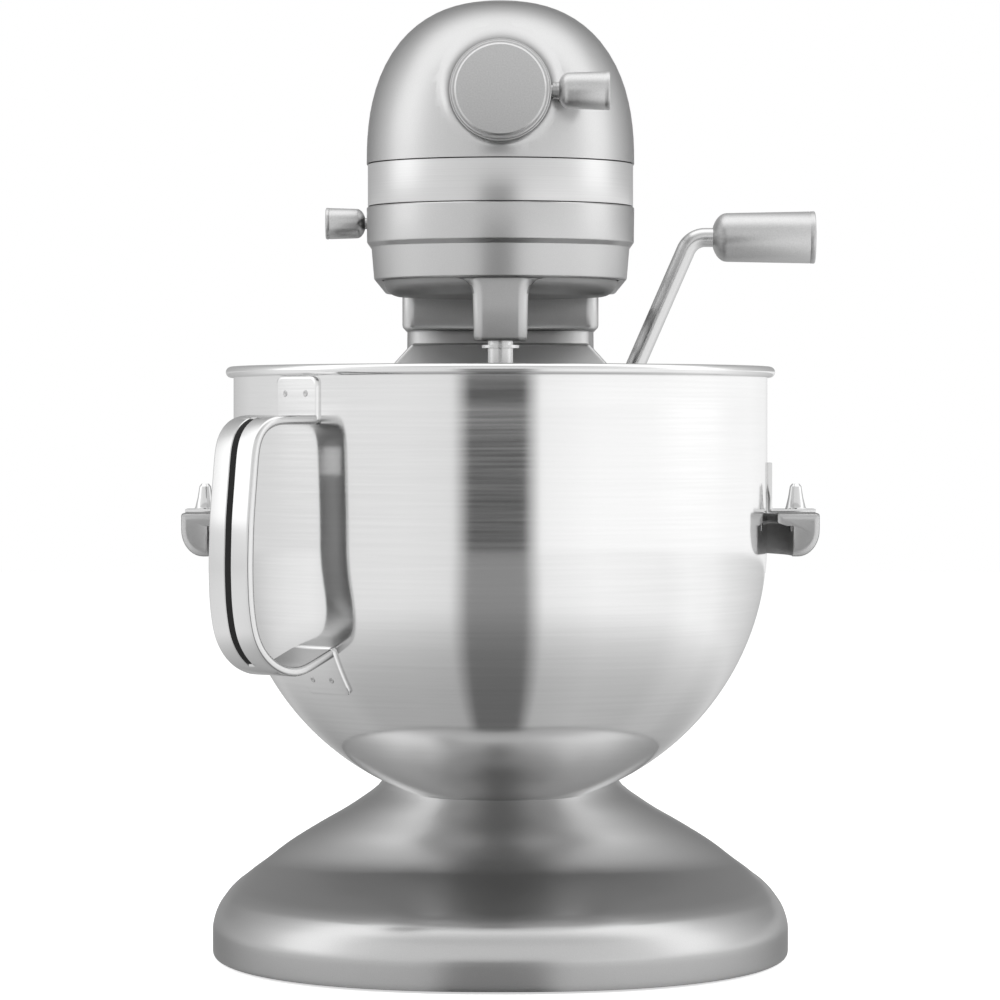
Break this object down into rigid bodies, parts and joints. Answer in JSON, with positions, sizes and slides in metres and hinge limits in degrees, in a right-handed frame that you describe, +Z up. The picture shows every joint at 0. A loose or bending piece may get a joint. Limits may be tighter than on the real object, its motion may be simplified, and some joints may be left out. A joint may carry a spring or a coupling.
{
  "type": "stand mixer",
  "caption": "Bowl-lift kitchen mixer: heavy pedestal, domed head with planetary drive and attachment hub, steel bowl with a strap handle held on lifting arms.",
  "frame": {"origin": "on the floor, straight below the axis of the planetary and the bowl", "axes": "+Z up along the planetary axis, -Y towards the attachment hub at the front, +X towards the bowl-lift lever"},
  "size_m": [0.2885, 0.3731, 0.4239],
  "materials": {
    "silver_paint": "satin metallic silver paint over a casting",
    "band_metal": "lengthwise brushed trim",
    "satin_metal": "satin blasted knobs and cover",
    "planetary_grey": "darker satin metallic paint",
    "bowl_steel": "fine horizontal brushing",
    "polished_steel": "mirror polish",
    "plain_steel": "plain turned steel",
    "gear_steel": "cut and hardened teeth",
    "cast_metal": "as cast",
    "bronze": "bearing bronze",
    "copper": "enamelled copper windings and bars",
    "lamination": "stacked laminations",
    "dark_plastic": "black moulded",
    "rubber": "dark moulded rubber",
    "board": "circuit board with its parts"
  },
  "bodies": {
    "stand": {"pedestal": "silver_paint", "bottom_plate": "dark_plastic", "rubber_feet": "rubber", "bottom_screws": "plain_steel", "lower_housing": "silver_paint", "trim_band": "band_metal", "upper_housing": "silver_paint", "rear_cover": "silver_paint", "rear_cover_screw": "plain_steel", "gear_case": "cast_metal", "case_screws": "plain_steel", "ring_gear": "gear_steel", "gear_bracket": "cast_metal", "shaft_bushes": "bronze", "hub_socket": "silver_paint", "stator": "lamination", "field_coils": "copper", "motor_plates": "cast_metal", "motor_bolts": "plain_steel", "carbon_brushes": "dark_plastic", "control_board": "board", "cord_gland": "rubber", "lift_bushes": "bronze", "guide_rails": "plain_steel"},
    "planetary": {"centre_shaft": "plain_steel", "centre_gear": "gear_steel", "centre_bevel": "gear_steel", "planetary": "planetary_grey", "planetary_pin": "plain_steel"},
    "beater": {"beater_shaft": "polished_steel", "beater_pinion": "gear_steel", "beater_pin": "polished_steel", "shaft_collar": "polished_steel"},
    "worm_wheel": {"wheel_shaft": "plain_steel", "worm_wheel": "bronze", "drive_pinion": "gear_steel"},
    "armature": {"armature_shaft": "plain_steel", "armature_core": "copper", "commutator": "copper", "worm": "gear_steel", "cooling_fan": "dark_plastic"},
    "hub_drive": {"hub_gear": "gear_steel", "hub_drive_shaft": "plain_steel"},
    "hub_cover": {"hub_cover": "satin_metal"},
    "attachment_knob": {"attachment_screw": "plain_steel", "attachment_knob": "satin_metal"},
    "speed_lever": {"speed_slider": "plain_steel", "speed_knob": "satin_metal"},
    "lift_lever": {"lift_shaft": "plain_steel", "lift_rod": "polished_steel", "lift_grip": "satin_metal"},
    "lift_link": {"lift_link": "plain_steel"},
    "carriage": {"bowl_yoke": "silver_paint", "locating_pins": "polished_steel", "bowl_spring": "plain_steel"},
    "bowl": {"bowl": "bowl_steel", "bowl_handle": "polished_steel", "handle_insert": "dark_plastic", "bowl_brackets": "bowl_steel", "bowl_clip": "bowl_steel"}
  },
  "joints": [
    {"name": "planetary_spin", "type": "hinge", "parent": "stand", "child": "planetary", "pos_m": [0, 0, 0.302], "axis": [0, 0, 1], "continuous": true},
    {"name": "beater_spin", "type": "hinge", "parent": "planetary", "child": "beater", "pos_m": [0, -0.036, 0.275], "axis": [0, 0, 1], "continuous": true},
    {"name": "wheel_spin", "type": "hinge", "parent": "stand", "child": "worm_wheel", "pos_m": [0.02425, 0.03611, 0.35], "axis": [0, 0, 1], "continuous": true},
    {"name": "armature_spin", "type": "hinge", "parent": "stand", "child": "armature", "pos_m": [0, 0.1, 0.35], "axis": [0, 1, 0], "continuous": true},
    {"name": "hub_spin", "type": "hinge", "parent": "stand", "child": "hub_drive", "pos_m": [0, -0.03, 0.381], "axis": [0, 1, 0], "continuous": true},
    {"name": "hub_cover_pull", "type": "slide", "parent": "stand", "child": "hub_cover", "axis": [0, -1, 0], "range_m": [0, 0.045]},
    {"name": "attachment_knob_turn", "type": "hinge", "parent": "stand", "child": "attachment_knob", "pos_m": [0.03, -0.058, 0.381], "axis": [1, 0, 0], "range_deg": [0, 720]},
    {"name": "speed_slide", "type": "slide", "parent": "stand", "child": "speed_lever", "axis": [0, -1, 0], "range_m": [0, 0.044]},
    {"name": "lift_turn", "type": "hinge", "parent": "stand", "child": "lift_lever", "pos_m": [0.05, 0.172, 0.232], "axis": [-1, 0, 0], "range_deg": [0, 90]},
    {"name": "link_swing", "type": "hinge", "parent": "lift_lever", "child": "lift_link", "pos_m": [0.007, 0.189, 0.249], "axis": [-1, 0, 0], "range_deg": [-90, 0]},
    {"name": "carriage_slide", "type": "slide", "parent": "stand", "child": "carriage", "axis": [0, 0, -1], "range_m": [0, 0.034]},
    {"name": "bowl_lift_off", "type": "slide", "parent": "carriage", "child": "bowl", "axis": [0, 0, 1], "range_m": [0, 0.014]}
  ],
  "couplings": [
    {"joint": "beater_spin", "follows": "planetary_spin", "ratio": -4},
    {"joint": "wheel_spin", "follows": "planetary_spin", "ratio": -3.1429},
    {"joint": "armature_spin", "follows": "planetary_spin", "ratio": -40.857},
    {"joint": "hub_spin", "follows": "planetary_spin", "ratio": -1},
    {"joint": "link_swing", "follows": "lift_turn", "ratio": -1},
    {"joint": "carriage_slide", "follows": "lift_turn", "m_per_rad": 0.021645}
  ]
}
